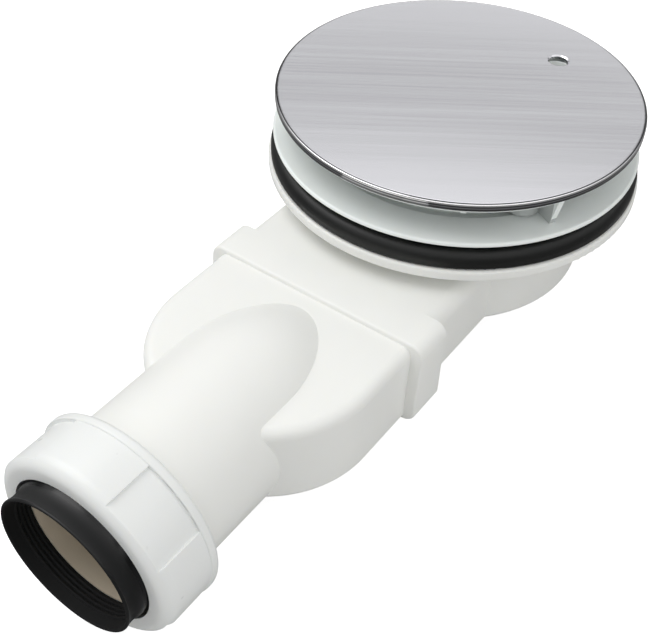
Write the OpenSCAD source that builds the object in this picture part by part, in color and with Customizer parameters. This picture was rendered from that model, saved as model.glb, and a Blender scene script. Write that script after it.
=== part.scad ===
// Low-profile shower tray trap for a 90 mm tray hole, with a metal cover and a 40 mm pipe outlet.
// The origin is on the waste axis, level with the underside of the tray. +X runs to the outlet, +Z is up.

/* [Tray and pipe] */
// Diameter of the hole in the shower tray
tray_hole_d = 90; // [88:0.5:92]
// Outside diameter of the pipe that the outlet takes
pipe_d = 40; // [39:0.1:41]
// Radial room for the pipe in its socket
pipe_room = 0.6; // [0.4:0.05:0.8]

/* [Cover] */
// Diameter of the metal cover plate
cover_d = 120; // [116:0.5:124]
// Height of the plate's turned-down edge
cover_edge_h = 2.7; // [2.4:0.1:3.4]
// Thickness of the plate's sheet
cover_sheet_t = 1.2; // [0.9:0.1:1.4]
// Radius of the plate's rounded edges
cover_edge_r = 0.6; // [0.3:0.05:0.9]
// Diameter of the lift hole
lift_hole_d = 6.5; // [5:0.5:8]
// Distance of the lift hole from the centre
lift_hole_r = 40.3; // [34:0.5:46]
// Direction of the lift hole, from the outlet's direction
lift_hole_angle = 155.8; // [140:0.1:165]
// Diameter of the welded stud under the plate
stud_d = 5; // [4:0.5:6]

/* [Cover carrier] */
// Height of the gap where water runs in under the cover
inlet_gap = 10.3; // [8:0.1:12]
// Height of the carrier's ring that shows below the plate
ring_show_h = 1.0; // [0.6:0.1:1.6]
// Radial width of the carrier's ring
ring_w = 2.2; // [1.6:0.1:3]
// Thickness of the carrier's disc
carrier_t = 1.8; // [1.4:0.1:2.2]
// Number of legs
leg_count = 3; // [3:1:5]
// Thickness of a leg's web
leg_t = 2.0; // [1.4:0.1:2.8]
// Direction of the first leg
leg_angle = 62.5; // [50:0.5:75]
// Radius of a leg's round post
leg_post_r = 5.4; // [4:0.1:6]
// Distance of the posts from the centre
leg_post_at = 45.6; // [44.5:0.1:47]
// Direction of a post, from its web
leg_post_turn = -5; // [-8:0.5:-2]
// Number of ribs under the disc
rib_count = 6; // [3:3:12]
// Thickness of a rib
rib_t = 1.6; // [1.2:0.1:2]
// Height of a rib
rib_h = 2.5; // [1.5:0.1:3]

/* [Clamping flange] */
// Diameter of the clamping flange
dish_d = 121.4; // [116:0.2:123]
// Thickness of the flange at its rim
dish_rim_t = 1.7; // [1.4:0.1:2.4]
// Inside diameter of the throat
throat_d = 80.4; // [78:0.2:82]
// Length of the threaded skirt, from the underside of the tray
skirt_l = 17; // [12:0.5:17.5]
// Radial play between the skirt and the tray hole
skirt_play = 1.1; // [0.8:0.1:1.5]
// Radial play left between the mating thread diameters
thread_play = 0.35; // [0.3:0.05:0.5]

/* [Gaskets] */
// Thickness of the thin seal under the clamping flange
flange_seal_t = 1.8; // [1.2:0.1:2.4]
// Diameter of the thin seal
flange_seal_d = 116; // [112:0.5:118]
// Thickness of the tray gasket
tray_gasket_t = 6.3; // [5.2:0.1:8]
// Diameter of the tray gasket
tray_gasket_d = 122.9; // [120:0.1:124.5]
// Radius of the tray gasket's upper outer edge
gasket_edge_r = 3.8; // [2:0.1:4]

/* [Dip tube] */
// Wall of the dip tube
dip_wall = 2.0; // [1.6:0.1:2.4]
// Height of the gap between the dip tube and the bowl's floor
dip_gap = 3.2; // [2.5:0.1:5]
// Section diameter of the dip tube's ring seal
o_ring_d = 2.1; // [1.8:0.1:2.4]
// Depth of the strainer's basket
strainer_depth = 8; // [5:0.5:12]
// Number of slots in each ring of the strainer
strainer_slots = 12; // [8:1:16]

/* [Bowl and duct] */
// Diameter of the body's lower flange
body_flange_d = 124.6; // [124:0.2:130]
// Thickness of the lower flange
body_flange_t = 3.6; // [3:0.1:5]
// Outside diameter of the bowl
bowl_d = 95.6; // [94.5:0.2:98]
// Depth of the bowl, from the underside of the tray
bowl_depth = 40.5; // [38:0.5:44]
// Wall of the bowl and the duct
body_wall = 2.7; // [2.2:0.1:3]
// Radius of the bowl's lower edge
bowl_edge_r = 2.1; // [1:0.1:3]
// Width of the duct and of the outlet chamber
duct_w = 71.8; // [66:0.2:74]
// Depth of the duct's flat top, from the underside of the tray
duct_top_depth = 15.0; // [14:0.1:16]
// Radius of the duct's upper edges
duct_edge_r = 5.2; // [3:0.1:6]

/* [Collar] */
// Distance of the collar's front face from the waste axis
collar_front = 80.4; // [78:0.1:84]
// Length of the collar
collar_l = 13.6; // [12:0.1:15]
// How far the collar stands out past the duct at each side
collar_proud = 3.75; // [3:0.05:5]
// How far the collar stands out above the duct
collar_rise = 0.2; // [0.1:0.1:1.5]
// How far the collar reaches below the outlet chamber
collar_drop = 0.6; // [0.5:0.1:1.5]
// Radius of the collar's edges
collar_edge_r = 4.5; // [3:0.1:8]
// How far the collar's top leans back
collar_lean = 1.2; // [0.4:0.1:4]
// Thickness of the joint's flat seal
joint_seal_t = 2.0; // [1.5:0.1:3]
// Play round the spigot in the collar
spigot_play = 0.15; // [0.1:0.05:0.3]

/* [Outlet chamber] */
// Depth of the chamber's flat top
chamber_top_depth = 16.3; // [16:0.1:17]
// Depth of the chamber's flat bottom
chamber_bottom_depth = 45.1; // [44:0.1:46]
// Radius of the chamber's upper edges
chamber_edge_r = 3.4; // [2:0.1:4.5]
// Radius of the chamber's lower edges
chamber_lower_r = 2.3; // [1:0.1:3]
// Distance of the chamber's round end's centre from the waste axis
chamber_end_at = 101.2; // [98:0.1:106]
// Wall of the chamber
chamber_wall = 2.6; // [2:0.1:3]
// Radius of the chamber's inner corners
chamber_inner_r = 2; // [1.6:0.1:3]
// How far the spigot is stepped in from the chamber
spigot_step = 1.25; // [1:0.05:1.6]
// Depth of the weir's crest, where the water stands
crest_depth = 20; // [19.5:0.1:22]
// Radius of the weir's trough
trough_r = 15.6; // [14:0.1:16]
// Wall of the trough
trough_wall = 2; // [1.5:0.1:2.5]
// Length of the trough
trough_l = 28; // [24:0.5:28.5]

/* [Outlet pipe] */
// Depth of the outlet's axis
axis_depth = 31.5; // [31:0.1:32.5]
// Outside diameter of the outlet pipe
stub_d = 49.4; // [49:0.1:50.5]
// Radius of the arc that closes the pipe's inner end
dome_arc_r = 60.5; // [50:0.5:70]
// Distance from the waste axis where that arc starts
dome_from = 117.4; // [114:0.1:120]
// Wall of the pipe behind its stop
dome_wall = 3; // [2.6:0.1:3.4]
// Distance from the waste axis to the pipe's stop
stop_at = 126; // [125:0.5:130]
// Length of the seat behind the stop
stop_l = 5; // [4:0.5:6]
// Depth of the stop's shoulder
stop_step = 1.2; // [1:0.1:1.6]
// Length of the lip that the weir insert stands against
lip_ring_l = 1.5; // [1:0.1:2]
// Outside diameter of the outlet's thread
thread_d = 52.6; // [52:0.1:53]
// Length of the thread
thread_l = 11; // [9:0.5:12]
// Distance of the pipe's open end from the waste axis
stub_end = 172; // [168:0.5:178]
// Length of the thin collar that carries the outlet seal
pilot_l = 4.4; // [3:0.1:5]
// Wall of that thin collar
pilot_wall = 1.3; // [1:0.05:1.4]

/* [Compression nut] */
// Diameter of the nut's back ring
nut_ring_d = 60.8; // [60.6:0.1:64]
// Length of the back ring
nut_ring_l = 3.2; // [3:0.1:6]
// Diameter over the grip pads
nut_pad_d = 60.1; // [60:0.1:61]
// Depth of the panels between the pads
nut_panel_depth = 0.85; // [0.4:0.05:1.1]
// Number of panels
nut_panel_count = 4; // [3:1:6]
// Angle that a panel spans
nut_panel_angle = 41.3; // [30:0.1:50]
// Direction of a panel's middle, from the level line
nut_panel_at = 46.2; // [40:0.1:50]
// Radius of the nut's front edge
nut_edge_r = 4; // [3.5:0.1:6]
// Thickness of the nut's front wall
nut_front_t = 2.4; // [1.8:0.1:3]
// Diameter of the nut's front opening
nut_open_d = 46.9; // [46.6:0.1:47.6]
// Length of the nut
nut_l = 19.5; // [19:0.1:22]

/* [Outlet seal] */
// Thickness of the seal's clamped rim
seal_rim_t = 2.9; // [2:0.1:3.5]
// Thickness of the slip ring
slip_ring_t = 1.2; // [0.8:0.1:1.6]
// How far the seal stands out of the nut
seal_out = 6.4; // [5:0.1:9]
// Radius of the seal's waist in front of the nut
seal_waist_r = 22; // [21.8:0.05:22.3]
// Radius of the seal's mouth
seal_mouth_r = 22.35; // [22.1:0.05:22.9]
// Radial room between the sealing lips and the pipe
lip_room = 0.4; // [0.35:0.05:0.5]
// Number of sealing lips
lip_count = 4; // [2:1:5]

/* [Hidden] */
$fn = 72;
eps = 0.01;
seat_play = 0.1;
white = [0.93, 0.94, 0.92];
black = [0.05, 0.05, 0.055];
steel = [0.74, 0.75, 0.77];

// Levels above the underside of the tray
dish_z = flange_seal_t;
rim_top_z = dish_z + dish_rim_t;
ring_z = rim_top_z + inlet_gap;
cover_z = ring_z + ring_show_h;
cover_top_z = cover_z + cover_edge_h;
sheet_z = cover_top_z - cover_sheet_t;

// Cover and carrier
cover_r = cover_d / 2;
carrier_r = cover_r - cover_sheet_t - seat_play;
hub_r = 7;
hub_h = 4.5;
hub_z = sheet_z - carrier_t - hub_h;
clip_t = 0.8;
clip_r = 6.2;
stud_tail = 2.2;
lift_flare = 0.45;

// Clamping flange
skirt_r = tray_hole_d / 2 - skirt_play;
throat_r = throat_d / 2;
funnel_r = skirt_r + 2.6;
ledge_z = -1.5;
ledge_r = skirt_r - 1.3;
seal_inner_r = funnel_r + 0.3;

// Bowl
bowl_r = bowl_d / 2;
body_top_z = -tray_gasket_t;
flange_low_z = body_top_z - body_flange_t;
bowl_z = -bowl_depth;
floor_z = bowl_z + body_wall;
body_thread_r = skirt_r + thread_play;
bowl_inner_r = bowl_r - body_wall;
flange_fillet_r = 2.6;
flange_edge_r = 0.8;

// Dip tube, its ring seal and the strainer
dip_r = throat_r - 1.8;
dip_inner_r = dip_r - dip_wall;
dip_rim_t = 1.8;
dip_low_z = floor_z + dip_gap;
dip_rim_r = ledge_r - 0.3;
band_r = throat_r - 0.3;
groove_z = -8;
groove_w = o_ring_d + 0.5;
groove_r = throat_r - o_ring_d - 0.06;
band_half = groove_w / 2 + 1.4;
basket_r = dip_inner_r - 0.3;
basket_t = 1.3;
strainer_rim_z = ledge_z + dip_rim_t;

// Duct and collar
duct_half = duct_w / 2;
duct_z = -duct_top_depth;
duct_lower_r = bowl_edge_r;
collar_half = duct_half + collar_proud;
collar_z = duct_z + collar_rise;
collar_back = collar_front - collar_l;

// Chamber and its spigot
chamber_z = -chamber_top_depth;
chamber_low_z = -chamber_bottom_depth;
collar_low_z = chamber_low_z - collar_drop;
lean_z = -axis_depth;
lean_top_z = collar_z + 1;
lean_top = collar_lean * (lean_top_z - lean_z) / (collar_z - lean_z);
spigot_half = duct_half - spigot_step;
spigot_z = chamber_z - spigot_step;
spigot_low_z = chamber_low_z + spigot_step;
spigot_l = collar_l - joint_seal_t - body_wall;
spigot_back = collar_front - spigot_l;
socket_back = spigot_back - joint_seal_t;
crest_z = -crest_depth;

// Outlet pipe
axis_z = -axis_depth;
stub_r = stub_d / 2;
pipe_r = pipe_d / 2;
socket_r = pipe_r + pipe_room;
stop_r = socket_r - stop_step;
stop_back = stop_at - stop_l - lip_ring_l;
pilot_r = socket_r + pilot_wall;
pilot_end = stub_end + pilot_l;
thread_r = thread_d / 2;
thread_at = stub_end - thread_l - 0.5;

// Weir insert
trough_back = stop_at - stop_l - trough_l;

// Nut, slip ring and outlet seal
nut_front = stub_end + seal_rim_t + slip_ring_t + nut_front_t + 0.3;
nut_back = nut_front - nut_l;
nut_thread_r = thread_r + 0.4;
nut_pad_r = nut_pad_d / 2;
nut_open_r = nut_open_d / 2;
lip_r = pipe_r + lip_room;
lip_size = 0.5;
seal_rim_x = stub_end + seal_rim_t;
sleeve_r = nut_open_r - 0.35;
mouth_edge_r = 0.5;
seal_end = nut_front + seal_out;

// A rectangle with its own lower and upper corner radii, from y = -half to y = half
module round_section(half, low, high, low_r, high_r) {
    translate([-half, low + low_r])
        square([2 * half, high - low - low_r - high_r]);
    translate([-half + low_r, low])
        square([2 * (half - low_r), low_r + eps]);
    translate([-half + high_r, high - high_r - eps])
        square([2 * (half - high_r), high_r + eps]);
    for (side = [-1, 1]) {
        translate([side * (half - low_r), low + low_r])
            circle(low_r);
        translate([side * (half - high_r), high - high_r])
            circle(high_r);
    }
}

// The right half of that section, ready to be turned about its middle
module half_section(half, low, high, low_r, high_r) {
    intersection() {
        round_section(half, low, high, low_r, high_r);
        translate([0, low - 1])
            square([half + 1, high - low + 2]);
    }
}

// Runs a Y-Z section along +X from one station to another
module along_x(from, to) {
    translate([from, 0, 0])
        rotate([90, 0, 90])
            linear_extrude(height = to - from)
                children();
}

// Turns a radius-against-X profile about the outlet's axis
module about_outlet() {
    translate([0, 0, axis_z])
        rotate([0, 90, 0])
            rotate_extrude()
                children();
}

module ring(r_in, r_out, low, high) {
    translate([r_in, low])
        square([r_out - r_in, high - low]);
}

module cover_profile() {
    difference() {
        union() {
            ring(0, cover_r, cover_z + cover_edge_r, cover_top_z - cover_edge_r);
            ring(0, cover_r - cover_edge_r, cover_z, cover_top_z);
            for (z = [cover_z + cover_edge_r, cover_top_z - cover_edge_r])
                translate([cover_r - cover_edge_r, z])
                    circle(cover_edge_r);
        }
        ring(-eps, cover_r - cover_sheet_t, cover_z - 1, sheet_z);
    }
}

module at_lift_hole() {
    rotate([0, 0, lift_hole_angle])
        translate([lift_hole_r, 0, 0])
            children();
}

module cover_plate() {
    color(steel) {
        difference() {
            rotate_extrude()
                cover_profile();
            at_lift_hole() {
                translate([0, 0, cover_z - 1])
                    cylinder(r = lift_hole_d / 2, h = cover_edge_h + 2);
                translate([0, 0, cover_top_z - lift_flare])
                    cylinder(r1 = lift_hole_d / 2, r2 = lift_hole_d / 2 + lift_flare + eps, h = lift_flare + eps);
            }
        }
        translate([0, 0, hub_z - clip_t - stud_tail])
            cylinder(r = stud_d / 2, h = sheet_z - hub_z + clip_t + stud_tail + eps);
    }
}

// One leg: a tapered web whose outer edge leans in, with a round post at its inner end
module carrier_leg() {
    rotate([90, 0, 0])
        translate([0, 0, -leg_t / 2])
            linear_extrude(height = leg_t)
                polygon([[leg_post_at, rim_top_z], [carrier_r - 3, rim_top_z],
                         [carrier_r - 0.3, ring_z + 0.5], [carrier_r - 0.3, sheet_z - 1],
                         [leg_post_at, sheet_z - 1]]);
    rotate([0, 0, leg_post_turn])
        translate([leg_post_at, 0, 0])
            difference() {
                translate([0, 0, rim_top_z + 0.6])
                    cylinder(r = leg_post_r, h = sheet_z - rim_top_z - 1.6);
                translate([0, 0, rim_top_z])
                    cylinder(r = leg_post_r - 1.6, h = sheet_z - rim_top_z - carrier_t);
            }
}

module cover_carrier() {
    color(white)
        difference() {
            union() {
                rotate_extrude() {
                    ring(0, carrier_r, sheet_z - carrier_t, sheet_z);
                    ring(carrier_r - ring_w, carrier_r, ring_z, sheet_z - eps);
                    ring(0, hub_r, hub_z, sheet_z - eps);
                }
                for (i = [0 : rib_count - 1])
                    rotate([0, 0, leg_angle + 180 / rib_count + i * 360 / rib_count])
                        translate([hub_r - 1, -rib_t / 2, sheet_z - carrier_t - rib_h])
                            cube([carrier_r - ring_w - hub_r + 1.5, rib_t, rib_h + 0.5]);
                for (i = [0 : leg_count - 1])
                    rotate([0, 0, leg_angle + i * 360 / leg_count])
                        carrier_leg();
            }
            translate([0, 0, hub_z - 1])
                cylinder(r = stud_d / 2 + seat_play, h = sheet_z - hub_z + 2);
            at_lift_hole()
                translate([0, 0, sheet_z - carrier_t - rib_h - 1])
                    cylinder(r = lift_hole_d / 2 + 1.5, h = carrier_t + rib_h + 2);
        }
}

// A toothed spring washer that grips the stud below the hub
module stud_clip() {
    color(steel)
        translate([0, 0, hub_z - clip_t])
            difference() {
                cylinder(r = clip_r, h = clip_t);
                translate([0, 0, -1])
                    cylinder(r = stud_d / 2 + 0.02, h = clip_t + 2);
                for (i = [0 : 5])
                    rotate([0, 0, i * 60])
                        translate([stud_d / 2 - 0.4, -0.35, -1])
                            cube([1.8, 0.7, clip_t + 2]);
            }
}

module strainer_slot_ring(at, len_deg, width) {
    for (i = [0 : strainer_slots - 1])
        rotate([0, 0, i * 360 / strainer_slots])
            rotate_extrude(angle = len_deg)
                ring(at - width / 2, at + width / 2, -1, basket_t + 1);
}

module hair_strainer() {
    low = strainer_rim_z - strainer_depth;
    color(white) {
        difference() {
            union() {
                rotate_extrude() {
                    ring(basket_r - basket_t, dip_rim_r - 0.6, strainer_rim_z, strainer_rim_z + basket_t);
                    ring(basket_r - basket_t, basket_r, low, strainer_rim_z + eps);
                    ring(0, basket_r, low, low + basket_t);
                }
            }
            translate([0, 0, low])
                for (row = [1 : 3])
                    strainer_slot_ring(basket_r * (0.14 + 0.23 * row), 360 / strainer_slots - 26 / row + 4, 3.2);
            for (i = [0 : 2 * strainer_slots - 1])
                rotate([0, 0, i * 180 / strainer_slots])
                    translate([basket_r - basket_t - 1, -1.1, low + basket_t + 1])
                        cube([basket_t + 2, 2.2, strainer_depth - basket_t - 2]);
        }
        translate([0, 0, low]) {
            cylinder(r = 3, h = strainer_depth + 1);
            translate([0, 0, strainer_depth + 1 - eps])
                cylinder(r1 = 3, r2 = 5, h = 1.5);
            translate([0, 0, strainer_depth + 2.5 - 2 * eps])
                cylinder(r = 5, h = 1.2);
        }
    }
}

module dip_tube() {
    color(white)
        rotate_extrude()
            difference() {
                union() {
                    ring(dip_inner_r, dip_rim_r, ledge_z, ledge_z + dip_rim_t);
                    ring(dip_inner_r, band_r, groove_z - band_half, ledge_z + eps);
                    ring(dip_inner_r, dip_r, dip_low_z + 1, ledge_z + eps);
                    translate([dip_inner_r + dip_wall / 2, dip_low_z + 1])
                        circle(dip_wall / 2);
                    ring(dip_inner_r, dip_r, dip_low_z + dip_wall / 2, dip_low_z + 2);
                }
                ring(groove_r, band_r + 1, groove_z - groove_w / 2, groove_z + groove_w / 2);
            }
}

module dip_tube_ring() {
    color(black)
        rotate_extrude()
            translate([throat_r - o_ring_d / 2 - 0.03, groove_z])
                circle(o_ring_d / 2);
}

// The dish that shows under the cover, with its funnel, throat and threaded skirt
module clamp_flange() {
    color(white)
        rotate_extrude()
            difference() {
                union() {
                    ring(throat_r, dish_d / 2 - dish_rim_t / 2, dish_z, rim_top_z);
                    translate([dish_d / 2 - dish_rim_t / 2, dish_z + dish_rim_t / 2])
                        circle(dish_rim_t / 2);
                    ring(throat_r, skirt_r, -skirt_l, rim_top_z);
                    ring(skirt_r - eps, funnel_r, 0, rim_top_z);
                }
                polygon([[throat_r - 1, rim_top_z + 1], [funnel_r + 1.9, rim_top_z + 1],
                         [funnel_r + 1.9, rim_top_z], [ledge_r, ledge_z + dip_rim_t + 0.3],
                         [ledge_r, ledge_z], [throat_r - 1, ledge_z]]);
            }
}

module flange_seal() {
    color(black)
        rotate_extrude()
            ring(seal_inner_r, flange_seal_d / 2, 0, flange_seal_t);
}

module tray_gasket() {
    low_r = 1;
    outer = tray_gasket_d / 2;
    inner = tray_hole_d / 2 + 1.2;
    color(black)
        rotate_extrude() {
            ring(inner, outer - gasket_edge_r, -tray_gasket_t, 0);
            ring(inner, outer, -tray_gasket_t + low_r, -gasket_edge_r);
            ring(inner, outer - low_r, -tray_gasket_t, -gasket_edge_r);
            intersection() {
                translate([outer - gasket_edge_r, -gasket_edge_r])
                    circle(gasket_edge_r);
                ring(outer - gasket_edge_r - eps, outer, -gasket_edge_r - eps, 0);
            }
            translate([outer - low_r, -tray_gasket_t + low_r])
                circle(low_r);
        }
}

module bowl_outside() {
    rotate_extrude() {
        ring(0, body_flange_d / 2 - flange_edge_r, flange_low_z, body_top_z);
        ring(0, body_flange_d / 2, flange_low_z + flange_edge_r, body_top_z - flange_edge_r);
        for (z = [flange_low_z + flange_edge_r, body_top_z - flange_edge_r])
            translate([body_flange_d / 2 - flange_edge_r, z])
                circle(flange_edge_r);
        ring(0, bowl_r, bowl_z + bowl_edge_r, flange_low_z + eps);
        ring(0, bowl_r - bowl_edge_r, bowl_z, flange_low_z);
        translate([bowl_r - bowl_edge_r, bowl_z + bowl_edge_r])
            circle(bowl_edge_r);
        difference() {
            ring(bowl_r - eps, bowl_r + flange_fillet_r, flange_low_z - flange_fillet_r, flange_low_z + eps);
            translate([bowl_r + flange_fillet_r, flange_low_z - flange_fillet_r])
                circle(flange_fillet_r);
        }
    }
}

module bowl_inside() {
    rotate_extrude() {
        ring(0, body_thread_r, floor_z, body_top_z + 1);
        ring(0, bowl_inner_r, floor_z, -skirt_l - 1.5);
    }
}

// Cuts its children to an X-Z outline
module cut_side_view(outline) {
    intersection() {
        children();
        rotate([90, 0, 0])
            linear_extrude(height = 2 * collar_half + 2, center = true)
                polygon(outline);
    }
}

// A straight slab that leans back a little above the axis
module collar() {
    low = collar_low_z - 1;
    cut_side_view([[collar_back, low], [collar_front, low], [collar_front, lean_z],
                   [collar_front - lean_top, lean_top_z], [collar_back - lean_top, lean_top_z],
                   [collar_back, lean_z]])
        along_x(collar_back - lean_top, collar_front + 1)
            round_section(collar_half, collar_low_z, collar_z, collar_edge_r, collar_edge_r);
}

module trap_body() {
    color(white)
        difference() {
            union() {
                bowl_outside();
                along_x(0, collar_back + eps)
                    round_section(duct_half, bowl_z, duct_z, duct_lower_r, duct_edge_r);
                collar();
            }
            bowl_inside();
            along_x(bowl_inner_r / 2, collar_back + body_wall + eps)
                round_section(duct_half - body_wall, floor_z, duct_z - body_wall,
                              duct_lower_r, duct_edge_r - body_wall);
            along_x(socket_back, collar_front + 1)
                round_section(spigot_half + spigot_play, spigot_low_z - spigot_play, spigot_z + spigot_play,
                              chamber_lower_r, chamber_edge_r);
        }
}

// The flat seal between the collar's inner shoulder and the spigot's end
module joint_seal() {
    color(black)
        along_x(socket_back, spigot_back)
            difference() {
                round_section(spigot_half, spigot_low_z, spigot_z, chamber_lower_r, chamber_edge_r);
                round_section(spigot_half - chamber_wall, spigot_low_z + chamber_wall, spigot_z - chamber_wall,
                              chamber_inner_r, chamber_inner_r);
            }
}

module chamber_outside() {
    low = chamber_low_z - 1;
    along_x(spigot_back, collar_front + eps)
        round_section(spigot_half, spigot_low_z, spigot_z, chamber_lower_r, chamber_edge_r);
    cut_side_view([[collar_front, low], [chamber_end_at + 1, low], [chamber_end_at + 1, lean_top_z],
                   [collar_front - lean_top, lean_top_z], [collar_front, lean_z]])
        along_x(collar_front - lean_top, chamber_end_at)
            round_section(duct_half, chamber_low_z, chamber_z, chamber_lower_r, chamber_edge_r);
    translate([chamber_end_at, 0, 0])
        rotate([0, 0, -90])
            rotate_extrude(angle = 180)
                half_section(duct_half, chamber_low_z, chamber_z, chamber_lower_r, chamber_edge_r);
}

module chamber_inside() {
    half = duct_half - chamber_wall;
    low = chamber_low_z + chamber_wall;
    high = chamber_z - chamber_wall;
    along_x(spigot_back - 1, collar_front + 3)
        round_section(spigot_half - chamber_wall, spigot_low_z + chamber_wall, spigot_z - chamber_wall,
                      chamber_inner_r, chamber_inner_r);
    along_x(collar_front + 2, chamber_end_at)
        round_section(half, low, high, chamber_inner_r, chamber_inner_r);
    translate([chamber_end_at, 0, 0])
        rotate([0, 0, -90])
            rotate_extrude(angle = 180)
                half_section(half, low, high, chamber_inner_r, chamber_inner_r);
}

// The pipe's closed inner end: one long arc that meets the pipe's side smoothly
module dome_profile(inset) {
    intersection() {
        translate([stub_r - dome_arc_r, dome_from])
            circle(dome_arc_r - inset, $fn = 144);
        translate([0, collar_front + 1 + inset])
            square([stub_r, dome_from - collar_front - 1 - inset]);
    }
}

module outlet_chamber() {
    color(white)
        difference() {
            union() {
                difference() {
                    union() {
                        chamber_outside();
                        about_outlet() {
                            dome_profile(0);
                            ring(0, stub_r, dome_from, stub_end);
                        }
                    }
                    chamber_inside();
                    about_outlet() {
                        dome_profile(dome_wall);
                        ring(0, stub_r - dome_wall, dome_from, stop_back);
                    }
                }
                about_outlet() {
                    ring(0, stub_r, stop_back, stub_end);
                    ring(0, thread_r, thread_at, stub_end - 0.5);
                    ring(0, pilot_r, stop_back, pilot_end);
                }
            }
            about_outlet() {
                ring(0, stop_r - 1, stop_back - 1, stop_at);
                ring(0, stop_r, stop_back + lip_ring_l, stop_at + eps);
                ring(0, socket_r, stop_at, pilot_end + 1);
            }
        }
}

// A closed trough whose rim is the weir, on a plug that seals in the pipe's stop
module weir_insert() {
    plug_back = stop_at - stop_l;
    color(white)
        difference() {
            about_outlet() {
                ring(0, stop_r - seat_play, plug_back, stop_at);
                ring(0, trough_r, trough_back, plug_back + eps);
            }
            about_outlet()
                ring(0, trough_r - trough_wall, trough_back + trough_wall, stop_at + 1);
            translate([trough_back - 1, -trough_r - 1, crest_z])
                cube([trough_l - lip_ring_l - 1, 2 * trough_r + 2, trough_r]);
        }
}

module compression_nut() {
    back_edge_r = 1.6;
    step_edge_r = 0.6;
    ring_r = nut_ring_d / 2;
    ring_end = nut_back + nut_ring_l;
    color(white)
        difference() {
            about_outlet() {
                ring(0, ring_r, nut_back + back_edge_r, ring_end - step_edge_r);
                ring(0, ring_r - back_edge_r, nut_back, ring_end);
                ring(0, ring_r - step_edge_r, ring_end - step_edge_r - eps, ring_end);
                translate([ring_r - back_edge_r, nut_back + back_edge_r])
                    circle(back_edge_r);
                translate([ring_r - step_edge_r, ring_end - step_edge_r])
                    circle(step_edge_r);
                ring(0, nut_pad_r, ring_end - eps, nut_front - nut_edge_r);
                ring(0, nut_pad_r - nut_edge_r, ring_end, nut_front);
                translate([nut_pad_r - nut_edge_r, nut_front - nut_edge_r])
                    circle(nut_edge_r);
            }
            about_outlet() {
                ring(0, nut_thread_r, nut_back - 1, nut_front - nut_front_t);
                ring(0, nut_open_r, nut_back, nut_front + 1);
            }
            for (i = [0 : nut_panel_count - 1])
                nut_panel(nut_panel_at + i * 360 / nut_panel_count);
        }
}

// A shallow sector cut between two grip pads
module nut_panel(middle) {
    translate([0, 0, axis_z])
        rotate([middle, 0, 0])
            rotate([0, 90, 0])
                rotate([0, 0, 90 - nut_panel_angle / 2])
                    rotate_extrude(angle = nut_panel_angle)
                        ring(nut_pad_r - nut_panel_depth, nut_pad_r + 1, nut_back + nut_ring_l, nut_front + 1);
}

module slip_ring() {
    low = seal_rim_x + 0.15;
    color(white)
        about_outlet()
            ring(nut_open_r + 0.1, nut_thread_r - 0.5, low, low + slip_ring_t);
}

module outlet_seal() {
    rim_r = nut_thread_r - 0.6;
    rim_inner_r = pilot_r + seat_play;
    inner_r = lip_r + lip_size;
    step_x = pilot_end + seat_play;
    waist_x = nut_front + seal_out * 0.55;
    waist_arc_r = 9;
    edge_x = seal_end - mouth_edge_r;
    lips_from = step_x + 1;
    lips_end = waist_x - 1;
    color(black)
        about_outlet() {
            difference() {
                polygon([[rim_inner_r, stub_end], [rim_r, stub_end], [rim_r, seal_rim_x], [sleeve_r, seal_rim_x],
                         [sleeve_r, waist_x], [seal_mouth_r, waist_x], [seal_mouth_r, edge_x],
                         [seal_mouth_r - 2 * mouth_edge_r, edge_x], [inner_r, lips_end], [inner_r, step_x],
                         [rim_inner_r, step_x]]);
                translate([seal_waist_r + waist_arc_r, waist_x])
                    circle(waist_arc_r);
            }
            translate([seal_mouth_r - mouth_edge_r, edge_x])
                circle(mouth_edge_r);
            for (i = [0 : lip_count - 1])
                translate([inner_r, lips_from + i * (lips_end - lips_from) / (lip_count - 1)])
                    circle(lip_size);
        }
}

cover_plate();
cover_carrier();
stud_clip();
hair_strainer();
dip_tube();
dip_tube_ring();
clamp_flange();
flange_seal();
tray_gasket();
trap_body();
joint_seal();
outlet_chamber();
weir_insert();
compression_nut();
slip_ring();
outlet_seal();
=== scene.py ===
"""Finishes a shower tray trap around its engineering model."""

import math

import bmesh
import bpy
from bpy.props import FloatProperty, FloatVectorProperty, PointerProperty
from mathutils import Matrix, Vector


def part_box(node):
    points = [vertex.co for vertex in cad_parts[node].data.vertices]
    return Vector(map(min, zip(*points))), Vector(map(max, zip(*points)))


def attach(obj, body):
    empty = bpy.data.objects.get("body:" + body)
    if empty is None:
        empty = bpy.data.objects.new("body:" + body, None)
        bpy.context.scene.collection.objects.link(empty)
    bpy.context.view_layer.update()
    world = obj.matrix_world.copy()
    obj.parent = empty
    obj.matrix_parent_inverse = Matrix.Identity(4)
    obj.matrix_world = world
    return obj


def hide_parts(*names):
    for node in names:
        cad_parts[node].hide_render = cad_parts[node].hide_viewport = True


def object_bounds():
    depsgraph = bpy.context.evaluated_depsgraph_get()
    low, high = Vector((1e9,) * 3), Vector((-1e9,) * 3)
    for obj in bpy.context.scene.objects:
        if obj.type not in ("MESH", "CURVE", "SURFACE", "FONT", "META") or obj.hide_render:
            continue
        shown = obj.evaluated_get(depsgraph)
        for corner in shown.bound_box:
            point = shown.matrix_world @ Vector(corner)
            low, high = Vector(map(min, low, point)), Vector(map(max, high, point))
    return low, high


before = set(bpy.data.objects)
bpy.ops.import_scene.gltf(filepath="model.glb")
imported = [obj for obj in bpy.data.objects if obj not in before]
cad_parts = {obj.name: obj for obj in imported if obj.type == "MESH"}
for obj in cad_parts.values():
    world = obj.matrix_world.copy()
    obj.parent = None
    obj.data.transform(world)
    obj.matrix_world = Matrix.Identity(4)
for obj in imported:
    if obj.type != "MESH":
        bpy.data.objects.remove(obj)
cad_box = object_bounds()

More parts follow.
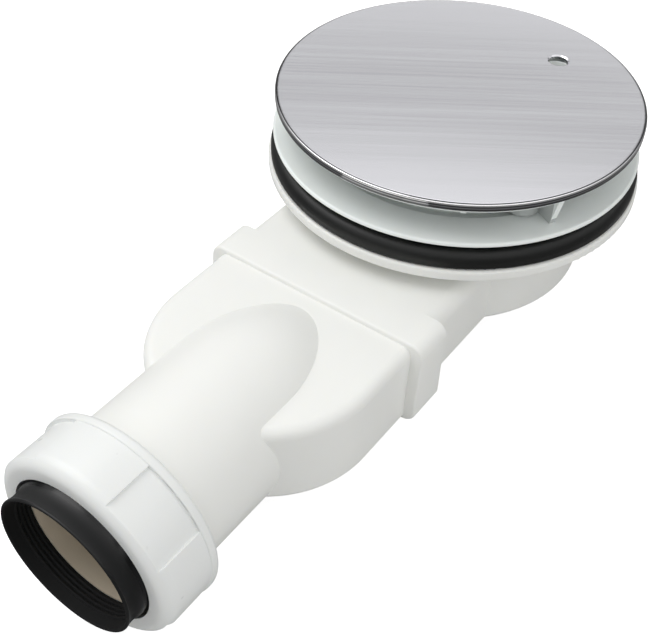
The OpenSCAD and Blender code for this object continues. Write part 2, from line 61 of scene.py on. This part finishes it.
bl_info = {
    "name": "Shower Tray Trap",
    "version": (1, 0, 0),
    "blender": (4, 5, 0),
    "location": "View3D > Sidebar > Trap",
    "description": "Finishes a shower tray trap around its engineering model",
    "category": "Add Mesh",
}

VECTOR = "NodeSocketVector"
FLOAT = "NodeSocketFloat"

# The outlet's axis, and how far around and along it the painted shade inside its socket reaches
OUTLET_AXIS_Z = -0.0315
SOCKET_SHADE_R = 0.0209
SOCKET_SHADE_FROM = 0.12

# Thread ridges: the cylinders they stand on, the start from the nut's inner end, the section and the turns
OUTLET_THREAD_R = 0.0263
NUT_THREAD_R = 0.0267
THREAD_FROM = 0.0019
THREAD_H = 0.00033
THREAD_BASE = 0.0015
THREAD_TOP = 0.0008
THREAD_TURNS = 2.25
THREAD_STEPS = 72
THREAD_SMOOTH = math.radians(30)
# Share of a ridge's height that is sunk into its cylinder
THREAD_SINK = 0.2

# Where the sharp edges lie that are rounded: beyond the nut's plain ring, and around the collar's front
NUT_RING_L = 0.00325
NUT_PANEL_R = 0.0255
NUT_SEGMENTS = 3
COLLAR_FRONT_L = 0.003
COLLAR_SIDE_Y = 0.0365
COLLAR_TOP_Z = -0.0162
COLLAR_FOOT_H = 0.0009
COLLAR_SEGMENTS = 4

# How an engineering mesh is merged into clean faces, and which of its edges stay sharp
MERGE_WITHIN = 0.000002
SLIVER_BELOW = 0.00004
FLAT_WITHIN = math.radians(0.4)
SHARP_FROM = math.radians(25)
SMOOTH_BELOW = math.radians(35)

# Fine grain of the moulded skin against its soft waves
FINE_SHARE = 0.35
# Scratches and broader bands of the brushing: how often they change along, across and through the metal
LINE_DENSITY = (12, 2600, 200)
BAND_DENSITY = (4, 260, 20)
BAND_SHARE = 0.5

# The carrier's rim, inside which its plastic is darkened as painted shade, and where the cover's brushed
# face turns into its polished edge
CARRIER_RIM_R = 0.0562
FACE_R = 0.0588
POLISH_R = 0.0592
FACE_ROUGHNESS = 0.214
POLISH_ROUGHNESS = 0.06
LEAST_ROUGHNESS = 0.05

# Way out over the cover's rolled edge and down it, against the painted reflection on its polish: bright and
# dark rings multiplied into its colour
EDGE_FROM = 0.0584
EDGE_WIDTH = 0.004
EDGE_PAINTED_REFLECTIONS = (
    (0.14, 1.0), (0.19, 1.2), (0.24, 0.08), (0.33, 0.08), (0.38, 1.43), (0.56, 1.43),
    (0.6, 0.2), (0.7, 0.2), (0.76, 0.75), (0.82, 0.2), (1.0, 0.15)
)

# Distances from the outlet's axis between which the seal turns from dull to glossy
SEAL_DULL_R = 0.0219
SEAL_GLOSSY_R = 0.0225
SEAL_DULLNESS = 0.6

# Height of a direction against the grey that polished faces mirror from there
SKY_STOPS = ((0.0, 0.1), (0.2, 0.2), (0.36, 1.0), (0.45, 1.2), (0.53, 0.1), (0.61, 1.3), (1.0, 1.0))
# Share of the surroundings' light that comes from the horizon and from straight above
SKY_LOW = 0.75
SKY_HIGH = 1.25
# Glow that the camera sees behind and around the object
SKY_SEEN = 1.05
FLOOR_SEEN = 0.7
# Grey of the floor, and the grey that polished faces mirror of it
FLOOR_GREY = 0.74
FLOOR_MIRRORED = 0.24

# Where the lamps point
LIGHT_AIM = (0.05, 0, 0)
KEY_SIZE = 0.9
KEY_PLACE = (0.25, -0.55, 0.85)
FILL_SIZE = 1.2
FILL_PLACE = (0.1, 0.95, 0.6)
SIDE_SIZE = 0.8
SIDE_PLACE = (0.7, -0.8, 0.35)


def colour_property(name, description, default):
    """Declares a colour that a user can change."""
    return FloatVectorProperty(
        name=name, description=description, subtype="COLOR", size=3, min=0, max=1, default=default
    )


class TrapFinish(bpy.types.PropertyGroup):
    """Colours and fine sizes of the trap's finishes"""

    body_colour: colour_property("Body", "Colour of the body and the outlet chamber", (0.87, 0.875, 0.845))
    nut_colour: colour_property("Nut", "Colour of the compression nut", (0.85, 0.865, 0.85))
    dish_colour: colour_property(
        "Flange", "Colour of the clamping flange and the inner pieces", (0.9, 0.94, 0.92)
    )
    # The carrier's colour is darker than its rim as painted shade, for where it lies under the cover
    carrier_shaded_colour: colour_property("Carrier", "Colour of the cover's carrier", (0.52, 0.545, 0.535))
    # The bore's colour is painted shade: darker and warmer than the body, for inside the outlet
    bore_shaded_colour: colour_property("Bore", "Colour of the plastic inside the outlet", (0.62, 0.55, 0.44))
    metal_colour: colour_property("Cover", "Colour of the cover's metal", (0.7, 0.7, 0.73))
    spring_colour: colour_property("Clip", "Colour of the spring steel", (0.5, 0.51, 0.53))
    gasket_colour: colour_property("Gasket", "Colour of the gasket's rubber", (0.005, 0.0055, 0.0052))
    seal_colour: colour_property("Seal", "Colour of the outlet seal's rubber", (0.003, 0.0032, 0.0036))
    brushing_turn: FloatProperty(
        name="Brushing", description="Direction of the cover's brushing", subtype="ANGLE",
        default=math.radians(125.3)
    )
    nut_softness: FloatProperty(
        name="Nut's edges", description="Radius of the nut's moulded edges", unit="LENGTH", default=0.0006
    )
    collar_softness: FloatProperty(
        name="Collar's edge", description="Radius of the collar's front edge", unit="LENGTH", default=0.0009
    )
    thread_pitch: FloatProperty(
        name="Thread pitch", description="Travel of the nut in one turn", unit="LENGTH", default=0.0035
    )


class TrapStage(bpy.types.PropertyGroup):
    """Floor, lights and camera"""

    floor_size: FloatProperty(name="Floor", description="Width of the floor", unit="LENGTH", default=12)
    lens: FloatProperty(name="Lens", description="Focal length in millimetres", default=60.354)
    camera_place: FloatVectorProperty(
        name="Camera", description="Where the camera stands", subtype="XYZ", unit="LENGTH",
        default=(0.2747, 0.14062, 0.20862)
    )
    camera_turn: FloatVectorProperty(
        name="Camera turn", description="How the camera is turned", subtype="EULER", unit="ROTATION",
        default=(math.radians(45.36815), math.radians(-2.22421), math.radians(125.33578))
    )
    camera_shift: FloatVectorProperty(
        name="Camera shift", description="Sideways and upward shift of the picture", size=2,
        default=(-0.034, 0.01876)
    )
    key_power: FloatProperty(name="Key", description="Power of the large light", default=5.2, unit="POWER")
    fill_power: FloatProperty(name="Fill", description="Power of the fill light", default=3.1, unit="POWER")
    side_power: FloatProperty(name="Side", description="Power of the low light", default=0.8, unit="POWER")
    sky_light: FloatProperty(name="Surroundings", description="Brightness of the surroundings", default=0.55)


def link(tree, start, end):
    """Joins an output to an input."""
    tree.links.new(start, end)


def feed(tree, node, *values):
    """Gives a node's inputs their sockets or plain values, in order."""
    for socket, value in zip(node.inputs, values):
        if isinstance(value, bpy.types.NodeSocket):
            link(tree, value, socket)
        else:
            socket.default_value = value


def math_node(tree, operation, *values):
    """Adds a math node fed by sockets or plain numbers."""
    node = tree.nodes.new("ShaderNodeMath")
    node.operation = operation
    feed(tree, node, *values)
    return node.outputs[0]


def spread(tree, value, low, high):
    """Leads from low to high while the value runs from 0 to 1."""
    return math_node(tree, "MULTIPLY_ADD", value, high - low, low)


def product(tree, first, second):
    """Multiplies two vectors or colours, each a socket or plain numbers."""
    node = tree.nodes.new("ShaderNodeVectorMath")
    node.operation = "MULTIPLY"
    feed(tree, node, first, second)
    return node.outputs[0]


def coordinates(tree, place):
    """Splits a place or a direction into its X, Y and Z."""
    node = tree.nodes.new("ShaderNodeSeparateXYZ")
    link(tree, place, node.inputs[0])
    return node.outputs


def distance(tree, first, second):
    """Measures how far a place lies from an axis, by its two coordinates across that axis."""
    across = tree.nodes.new("ShaderNodeCombineXYZ")
    feed(tree, across, first, second)
    reach = tree.nodes.new("ShaderNodeVectorMath")
    reach.operation = "LENGTH"
    link(tree, across.outputs[0], reach.inputs[0])
    return reach.outputs["Value"]


def outlet_distance(tree, y, z):
    """Measures how far a place lies from the outlet's axis."""
    return distance(tree, y, math_node(tree, "SUBTRACT", z, OUTLET_AXIS_Z))


def map_range(tree, value, low, high, start, end):
    """Leads from start to end while the value runs from low to high."""
    node = tree.nodes.new("ShaderNodeMapRange")
    feed(tree, node, value, low, high, start, end)
    return node.outputs[0]


def grey_ramp(tree, value, stops, ease="LINEAR"):
    """Turns a value into a grey by a list of places and greys."""
    ramp = tree.nodes.new("ShaderNodeValToRGB")
    ramp.color_ramp.interpolation = ease
    elements = ramp.color_ramp.elements
    for place, grey in stops[1:-1]:
        elements.new(place)
    for element, (place, grey) in zip(elements, stops):
        element.position = place
        element.color = (grey, grey, grey, 1)
    link(tree, value, ramp.inputs["Fac"])
    return ramp.outputs["Color"]


def noise_node(tree, place, scale, detail, roughness=0.5):
    """Adds soft noise over a place."""
    node = tree.nodes.new("ShaderNodeTexNoise")
    node.inputs["Scale"].default_value = scale
    node.inputs["Detail"].default_value = detail
    node.inputs["Roughness"].default_value = roughness
    link(tree, place, node.inputs["Vector"])
    return node.outputs["Fac"]


def new_group(name, inputs, outputs):
    """Starts a shader node group, and returns it with its two end nodes."""
    group = bpy.data.node_groups.new(name, "ShaderNodeTree")
    for side, sockets in (("INPUT", inputs), ("OUTPUT", outputs)):
        for title, kind in sockets:
            group.interface.new_socket(title, in_out=side, socket_type=kind)
    return group, group.nodes.new("NodeGroupInput"), group.nodes.new("NodeGroupOutput")


def moulded_skin_group():
    """Plastic straight from the mould: faint clouding, uneven gloss and a soft waviness."""
    group, start, end = new_group(
        "Moulded skin",
        [("Place", VECTOR), ("Base roughness", FLOAT)],
        [("Shade", FLOAT), ("Roughness", FLOAT), ("Height", FLOAT)],
    )
    place = start.outputs["Place"]
    cloud = noise_node(group, place, scale=38, detail=3)
    patch = noise_node(group, place, scale=120, detail=2)
    fine = noise_node(group, place, scale=1900, detail=2)
    wave = noise_node(group, place, scale=160, detail=1)
    shade = spread(group, cloud, low=0.975, high=1.025)
    uneven = spread(group, patch, low=-0.06, high=0.06)
    rough = math_node(group, "ADD", uneven, start.outputs["Base roughness"])
    feed(group, end, shade, rough, math_node(group, "MULTIPLY_ADD", fine, FINE_SHARE, wave))


def brushing_group():
    """Fine parallel scratches along one direction of a flat metal face."""
    group, start, end = new_group(
        "Brushing",
        [("Place", VECTOR), ("Turn", FLOAT)],
        [("Shade", FLOAT), ("Roughness", FLOAT), ("Height", FLOAT)],
    )
    turn = group.nodes.new("ShaderNodeVectorRotate")
    turn.rotation_type = "Z_AXIS"
    link(group, start.outputs["Place"], turn.inputs["Vector"])
    link(group, math_node(group, "MULTIPLY", start.outputs["Turn"], -1), turn.inputs["Angle"])
    thin = product(group, turn.outputs[0], LINE_DENSITY)
    wide = product(group, turn.outputs[0], BAND_DENSITY)
    lines = noise_node(group, thin, scale=1, detail=3, roughness=0.65)
    bands = noise_node(group, wide, scale=1, detail=2)
    both = math_node(group, "MULTIPLY_ADD", bands, BAND_SHARE, lines)
    shade = spread(group, both, low=0.925, high=1.025)
    rough = spread(group, both, low=-0.09, high=0.03)
    feed(group, end, shade, rough, lines)


def effect(tree, name, *values):
    """Places a node group in a material with its inputs in order, and returns its outputs."""
    node = tree.nodes.new("ShaderNodeGroup")
    node.node_tree = bpy.data.node_groups[name]
    feed(tree, node, *values)
    return node.outputs


def workings(material):
    """Returns a material's node tree, its shader and its object coordinates."""
    tree = material.node_tree
    return tree, tree.nodes["Principled BSDF"], tree.nodes["Texture Coordinate"].outputs["Object"]


def new_material(name):
    """Starts a material that reads object coordinates, and returns it with its workings."""
    material = bpy.data.materials.new(name)
    material.use_nodes = True
    material.node_tree.nodes.new("ShaderNodeTexCoord")
    return material, *workings(material)


def set_surface(tree, shader, colour, rough):
    """Gives a shader the colour and the roughness that change over its surface."""
    link(tree, colour, shader.inputs["Base Color"])
    link(tree, rough, shader.inputs["Roughness"])


def set_relief(tree, shader, height, depth):
    """Gives a shader the fine relief of its surface."""
    relief = tree.nodes.new("ShaderNodeBump")
    relief.inputs["Distance"].default_value = depth
    link(tree, height, relief.inputs["Height"])
    link(tree, relief.outputs["Normal"], shader.inputs["Normal"])


def two_tone(tree, shader, second, where):
    """Puts a second colour in place of a material's own where a mask says so."""
    mix = tree.nodes.new("ShaderNodeMix")
    mix.data_type = "RGBA"
    link(tree, where, mix.inputs["Factor"])
    link(tree, shader.inputs["Base Color"].links[0].from_socket, mix.inputs["A"])
    mix.inputs["B"].default_value = (*second, 1)
    link(tree, mix.outputs["Result"], shader.inputs["Base Color"])


def plastic(name, colour, rough, soft):
    """Moulded plastic that lets a little light under its skin."""
    material, tree, shader, place = new_material(name)
    skin = effect(tree, "Moulded skin", place, rough)
    set_surface(tree, shader, product(tree, colour, skin["Shade"]), skin["Roughness"])
    set_relief(tree, shader, skin["Height"], depth=0.00002)
    shader.inputs["Subsurface Weight"].default_value = soft
    shader.inputs["Subsurface Radius"].default_value = (0.002, 0.0018, 0.0014)
    shader.inputs["IOR"].default_value = 1.49
    return material


def underside_shaded_plastic(name, colour, rim, rough, soft):
    """Moulded plastic darkened as painted shade inside its rim, as on the carrier under the cover; the rim
    keeps the flange's colour.
    """
    material = plastic(name, colour, rough, soft)
    tree, shader, place = workings(material)
    x, y = coordinates(tree, place)[:2]
    # Painted shade: inside the rim the plastic keeps the darker colour, standing in for the shadow under the
    # cover
    two_tone(tree, shader, rim, math_node(tree, "GREATER_THAN", distance(tree, x, y), CARRIER_RIM_R))
    return material


def socket_shaded_plastic(name, colour, shaded_lining, rough, soft):
    """Moulded plastic with painted shade inside the outlet's socket: a darker, warmer colour there."""
    material = plastic(name, colour, rough, soft)
    tree, shader, place = workings(material)
    x, y, z = coordinates(tree, place)
    # Painted shade: inside the socket the plastic takes the darker, warmer colour
    inside = math_node(tree, "LESS_THAN", outlet_distance(tree, y, z), SOCKET_SHADE_R)
    beyond = math_node(tree, "GREATER_THAN", x, SOCKET_SHADE_FROM)
    two_tone(tree, shader, shaded_lining, math_node(tree, "MULTIPLY", inside, beyond))
    return material


def brushed_cover(name, colour, turn):
    """Brushed face with a polished edge, told apart by the distance from the waste axis; the edge's colour
    carries painted reflections in bright and dark rings.
    """
    material, tree, shader, place = new_material(name)
    brush = effect(tree, "Brushing", place, turn)
    x, y, z = coordinates(tree, place)
    reach = distance(tree, x, y)
    drop = math_node(tree, "SUBTRACT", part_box("cover_plate")[1].z, z)
    around = math_node(tree, "ADD", reach, math_node(tree, "MAXIMUM", drop, 0))
    share = math_node(tree, "DIVIDE", math_node(tree, "SUBTRACT", around, EDGE_FROM), EDGE_WIDTH)
    # Painted reflection: bright and dark rings over the polished edge, multiplied into the metal's colour
    painted_reflections = grey_ramp(tree, share, EDGE_PAINTED_REFLECTIONS)
    base = map_range(tree, reach, FACE_R, POLISH_R, FACE_ROUGHNESS, POLISH_ROUGHNESS)
    rough = math_node(tree, "MAXIMUM", math_node(tree, "ADD", base, brush["Roughness"]), LEAST_ROUGHNESS)
    set_surface(tree, shader, product(tree, product(tree, colour, brush["Shade"]), painted_reflections), rough)
    set_relief(tree, shader, brush["Height"], depth=0.0000026)
    shader.inputs["Metallic"].default_value = 1
    return material


def plain_metal(name, colour, rough):
    """Bright metal with a faintly patchy gloss."""
    material, tree, shader, place = new_material(name)
    patch = noise_node(tree, place, scale=300, detail=3)
    shade = spread(tree, patch, low=0.95, high=1.05)
    uneven = spread(tree, patch, low=rough, high=rough + 0.15)
    set_surface(tree, shader, product(tree, colour, shade), uneven)
    shader.inputs["Metallic"].default_value = 1
    return material


def rubber(name, colour, rough, index):
    """Black rubber with a trace of dust and a fine grain."""
    material, tree, shader, place = new_material(name)
    dust = noise_node(tree, place, scale=90, detail=4)
    shade = spread(tree, dust, low=0.65, high=1.35)
    uneven = spread(tree, dust, low=rough - 0.1, high=rough + 0.1)
    set_surface(tree, shader, product(tree, colour, shade), uneven)
    set_relief(tree, shader, noise_node(tree, place, scale=2400, detail=2), depth=0.00001)
    shader.inputs["IOR"].default_value = index
    return material


def seal_rubber(name, colour, rough, index):
    """Glossy rubber that is dull between the lips inside the seal."""
    material = rubber(name, colour, rough, index)
    tree, shader, place = workings(material)
    y, z = coordinates(tree, place)[1:]
    dull = map_range(tree, outlet_distance(tree, y, z), SEAL_DULL_R, SEAL_GLOSSY_R, SEAL_DULLNESS, 0)
    plain = shader.inputs["Roughness"].links[0].from_socket
    link(tree, math_node(tree, "ADD", plain, dull), shader.inputs["Roughness"])
    return material


def coat(mesh, material):
    """Gives a mesh its one material."""
    mesh.materials.clear()
    mesh.materials.append(material)


def dress(material, *nodes):
    """Gives nodes of the engineering model their finish."""
    for node in nodes:
        coat(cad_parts[node].data, material)


def settle(piece, body, material):
    """Gives a new piece its finish and the body that it rides on."""
    coat(piece.data, bpy.data.materials[material])
    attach(piece, body)


def pick_only(piece):
    """Makes one object the active and only selected one."""
    bpy.ops.object.select_all(action="DESELECT")
    piece.select_set(True)
    bpy.context.view_layer.objects.active = piece


def edit_whole(piece):
    """Opens a piece for editing with all of it selected."""
    pick_only(piece)
    bpy.ops.object.mode_set(mode="EDIT")
    bpy.ops.mesh.select_all(action="SELECT")


def closed_copy(node, name):
    """Copies a node of the engineering model, with its loose triangles merged into clean faces."""
    piece = bpy.data.objects.new(name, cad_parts[node].data.copy())
    bpy.context.scene.collection.objects.link(piece)
    piece.data.name = name
    edit_whole(piece)
    bpy.ops.mesh.remove_doubles(threshold=MERGE_WITHIN)
    bpy.ops.mesh.dissolve_limited(angle_limit=FLAT_WITHIN)
    bpy.ops.mesh.select_all(action="SELECT")
    bpy.ops.mesh.dissolve_degenerate(threshold=SLIVER_BELOW)
    bpy.ops.object.mode_set(mode="OBJECT")
    bpy.ops.mesh.customdata_custom_splitnormals_clear()
    return piece


def soften_edges(piece, width, segments, wanted):
    """Rounds the sharp edges of a piece that are wanted, and shades the rest smooth."""
    mesh = bmesh.new()
    mesh.from_mesh(piece.data)
    weight = mesh.edges.layers.float.new("bevel_weight_edge")
    for edge in mesh.edges:
        if edge.calc_face_angle(0) > SHARP_FROM and wanted(*(v.co for v in edge.verts)):
            edge[weight] = 1
    mesh.to_mesh(piece.data)
    mesh.free()
    pick_only(piece)
    soft = piece.modifiers.new("Soft edges", "BEVEL")
    soft.width = width
    soft.segments = segments
    soft.limit_method = "WEIGHT"
    bpy.ops.object.modifier_apply(modifier=soft.name)
    bpy.ops.object.shade_smooth_by_angle(angle=SMOOTH_BELOW)


class TRAP_OT_finishes(bpy.types.Operator):
    """Makes the finishes and gives them to the nodes"""

    bl_idname = "trap.finishes"
    bl_label = "Finishes"

    def execute(self, context):
        finish = context.scene.trap_finish
        moulded_skin_group()
        brushing_group()
        body = plastic("Body plastic", finish.body_colour, rough=0.4, soft=0.15)
        nut = plastic("Nut plastic", finish.nut_colour, rough=0.3, soft=0.15)
        dish = plastic("Flange plastic", finish.dish_colour, rough=0.35, soft=0.1)
        carrier = underside_shaded_plastic(
            "Carrier plastic with painted shade", finish.carrier_shaded_colour, finish.dish_colour, rough=0.35, soft=0.1
        )
        chamber = socket_shaded_plastic(
            "Chamber plastic", finish.body_colour, finish.bore_shaded_colour, rough=0.4, soft=0.15
        )
        gasket = rubber("Gasket rubber", finish.gasket_colour, rough=0.42, index=1.42)
        seal = seal_rubber("Seal rubber", finish.seal_colour, rough=0.22, index=1.42)
        dress(brushed_cover("Brushed cover", finish.metal_colour, finish.brushing_turn), "cover_plate")
        dress(plain_metal("Spring steel", finish.spring_colour, rough=0.3), "stud_clip")
        dress(chamber, "outlet_chamber")
        dress(body, "trap_body", "weir_insert")
        dress(carrier, "cover_carrier")
        dress(dish, "hair_strainer", "dip_tube", "clamp_flange", "slip_ring")
        dress(nut, "compression_nut")
        dress(gasket, "dip_tube_ring", "flange_seal", "tray_gasket", "joint_seal")
        dress(seal, "outlet_seal")
        return {"FINISHED"}


class TRAP_OT_body(bpy.types.Operator):
    """Makes the moulded body with the soft front of its collar"""

    bl_idname = "trap.body"
    bl_label = "Body"

    def execute(self, context):
        body = closed_copy("trap_body", "moulded_body")
        lowest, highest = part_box("trap_body")

        def on_collar(first, second):
            outside = [
                abs(p.y) > COLLAR_SIDE_Y or p.z > COLLAR_TOP_Z or p.z < lowest.z + COLLAR_FOOT_H
                for p in (first, second)
            ]
            return min(first.x, second.x) > highest.x - COLLAR_FRONT_L and all(outside)

        soften_edges(body, context.scene.trap_finish.collar_softness, COLLAR_SEGMENTS, on_collar)
        settle(body, "root", "Body plastic")
        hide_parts("trap_body")
        return {"FINISHED"}


class TRAP_OT_nut(bpy.types.Operator):
    """Makes the moulded nut with its soft edges"""

    bl_idname = "trap.nut"
    bl_label = "Compression nut"

    def execute(self, context):
        nut = closed_copy("compression_nut", "moulded_nut")
        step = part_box("compression_nut")[0].x + NUT_RING_L

        def on_panel(first, second):
            reach = min(math.hypot(p.y, p.z - OUTLET_AXIS_Z) for p in (first, second))
            return reach > NUT_PANEL_R and max(first.x, second.x) > step

        soften_edges(nut, context.scene.trap_finish.nut_softness, NUT_SEGMENTS, on_panel)
        settle(nut, "nut", "Nut plastic")
        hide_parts("compression_nut")
        return {"FINISHED"}


class TRAP_OT_threads(bpy.types.Operator):
    """Winds the outlet's thread and the nut's thread that runs between its turns"""

    bl_idname = "trap.threads"
    bl_label = "Threads"

    def execute(self, context):
        pitch = context.scene.trap_finish.thread_pitch
        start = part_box("compression_nut")[0].x + THREAD_FROM
        outer = self.wind("outlet_thread", start, OUTLET_THREAD_R, THREAD_H, pitch)
        settle(outer, "root", "Body plastic")
        inner = self.wind("nut_thread", start + pitch / 2, NUT_THREAD_R, -THREAD_H, pitch)
        settle(inner, "nut", "Nut plastic")
        return {"FINISHED"}

    def wind(self, name, start, radius, height, pitch):
        """Winds a low ridge as a right-hand thread around the outlet's axis."""
        bpy.ops.mesh.primitive_plane_add(size=THREAD_BASE, location=(start + THREAD_BASE / 2, radius, 0))
        ridge = bpy.context.active_object
        ridge.name = name
        ridge.data.name = name
        for corner in ridge.data.vertices:
            top = corner.co.y > 0
            corner.co.y = height if top else -THREAD_SINK * height
            corner.co.x *= THREAD_TOP / THREAD_BASE if top else 1
        pick_only(ridge)
        bpy.ops.object.transform_apply(location=True)
        screw = ridge.modifiers.new("Winding", "SCREW")
        screw.axis = "X"
        screw.angle = math.tau * THREAD_TURNS
        screw.screw_offset = pitch * THREAD_TURNS
        screw.steps = round(THREAD_STEPS * THREAD_TURNS)
        screw.render_steps = screw.steps
        screw.use_merge_vertices = False
        bpy.ops.object.modifier_apply(modifier=screw.name)
        edit_whole(ridge)
        bpy.ops.mesh.select_all(action="DESELECT")
        bpy.ops.mesh.select_non_manifold()
        bpy.ops.mesh.fill_holes(sides=4)
        bpy.ops.mesh.select_all(action="SELECT")
        bpy.ops.mesh.normals_make_consistent(inside=False)
        bpy.ops.transform.translate(value=(0, 0, OUTLET_AXIS_Z))
        bpy.ops.object.mode_set(mode="OBJECT")
        bpy.ops.object.shade_smooth_by_angle(angle=THREAD_SMOOTH)
        return ridge


class TRAP_OT_stage(bpy.types.Operator):
    """Adds the floor, the lights and the camera"""

    bl_idname = "trap.stage"
    bl_label = "Stage"

    def execute(self, context):
        stage = context.scene.trap_stage
        self.add_floor(stage, cad_box[0][2])
        self.light_surroundings(context.scene, stage)
        self.add_lights(stage)
        self.add_camera(context.scene, stage)
        context.scene.view_settings.view_transform = "Standard"
        return {"FINISHED"}

    def add_floor(self, stage, level):
        """Lays a pale floor that looks white to the camera and darker in polished faces."""
        bpy.ops.mesh.primitive_plane_add(size=stage.floor_size, location=(0, 0, level))
        floor = bpy.context.active_object
        floor.name = "floor"
        bpy.ops.object.transform_apply(location=True)
        material, tree, shader = new_material("Floor")[:3]
        path = tree.nodes.new("ShaderNodeLightPath").outputs
        grey = spread(tree, path["Is Glossy Ray"], FLOOR_GREY, FLOOR_MIRRORED)
        link(tree, grey, shader.inputs["Base Color"])
        seen = math_node(tree, "MULTIPLY", path["Is Camera Ray"], FLOOR_SEEN)
        link(tree, seen, shader.inputs["Emission Strength"])
        shader.inputs["Emission Color"].default_value = (1, 1, 1, 1)
        shader.inputs["Roughness"].default_value = 0.9
        shader.inputs["Specular IOR Level"].default_value = 0.1
        coat(floor.data, material)

    def light_surroundings(self, scene, stage):
        """Sets the soft light all around, and the bright and dark bands that polished faces mirror."""
        world = bpy.data.worlds.new("Surroundings")
        world.use_nodes = True
        tree = world.node_tree
        back = tree.nodes["Background"]
        direction = tree.nodes.new("ShaderNodeTexCoord").outputs["Generated"]
        height = coordinates(tree, direction)["Z"]
        path = tree.nodes.new("ShaderNodeLightPath").outputs
        greys = grey_ramp(tree, height, SKY_STOPS, "EASE")
        mirrored = math_node(tree, "MULTIPLY", greys, path["Is Glossy Ray"])
        above = math_node(tree, "MAXIMUM", height, 0)
        glow = spread(tree, above, stage.sky_light * SKY_LOW, stage.sky_light * SKY_HIGH)
        plain = math_node(tree, "MULTIPLY", glow, math_node(tree, "SUBTRACT", 1, path["Is Glossy Ray"]))
        lit = math_node(tree, "ADD", mirrored, plain)
        seen = math_node(tree, "MULTIPLY", path["Is Camera Ray"], SKY_SEEN)
        link(tree, math_node(tree, "MAXIMUM", lit, seen), back.inputs["Strength"])
        back.inputs["Color"].default_value = (1, 1, 1, 1)
        scene.world = world

    def add_lights(self, stage):
        """Adds the three lamps, of which polished faces mirror the large one alone."""
        self.add_lamp("key", stage.key_power, KEY_SIZE, KEY_PLACE)
        self.add_lamp("fill", stage.fill_power, FILL_SIZE, FILL_PLACE).visible_glossy = False
        self.add_lamp("side", stage.side_power, SIDE_SIZE, SIDE_PLACE).visible_glossy = False

    def add_lamp(self, name, power, size, place):
        """Adds one soft lamp that points at the object."""
        bpy.ops.object.light_add(type="AREA", location=place)
        lamp = bpy.context.active_object
        lamp.name = name
        lamp.data.energy = power
        lamp.data.size = size
        aim = Vector(LIGHT_AIM) - Vector(place)
        lamp.rotation_euler = aim.to_track_quat("-Z", "Y").to_euler()
        return lamp

    def add_camera(self, scene, stage):
        """Sets the camera at the photograph's angle."""
        bpy.ops.object.camera_add(location=stage.camera_place, rotation=stage.camera_turn)
        camera = bpy.context.active_object
        camera.data.lens = stage.lens
        camera.data.sensor_width = 36
        camera.data.shift_x, camera.data.shift_y = stage.camera_shift
        camera.data.clip_start = 0.01
        scene.camera = camera


class TRAP_PT_panel(bpy.types.Panel):
    """Lists the trap's pieces and settings"""

    bl_idname = "TRAP_PT_panel"
    bl_label = "Shower tray trap"
    bl_space_type = "VIEW_3D"
    bl_region_type = "UI"
    bl_category = "Trap"

    def draw(self, context):
        for operator in OPERATORS:
            self.layout.operator(operator.bl_idname)
        for settings in (context.scene.trap_finish, context.scene.trap_stage):
            for name in settings.__annotations__:
                self.layout.prop(settings, name)


OPERATORS = (TRAP_OT_finishes, TRAP_OT_body, TRAP_OT_nut, TRAP_OT_threads, TRAP_OT_stage)
CLASSES = (TrapFinish, TrapStage) + OPERATORS + (TRAP_PT_panel,)


def register():
    for cls in CLASSES:
        bpy.utils.register_class(cls)
    bpy.types.Scene.trap_finish = PointerProperty(type=TrapFinish)
    bpy.types.Scene.trap_stage = PointerProperty(type=TrapStage)


def unregister():
    del bpy.types.Scene.trap_stage
    del bpy.types.Scene.trap_finish
    for cls in reversed(CLASSES):
        bpy.utils.unregister_class(cls)


def main():
    register()
    bpy.ops.trap.finishes()
    bpy.ops.trap.body()
    bpy.ops.trap.nut()
    bpy.ops.trap.threads()
    bpy.ops.trap.stage()


if __name__ == "__main__":
    main()
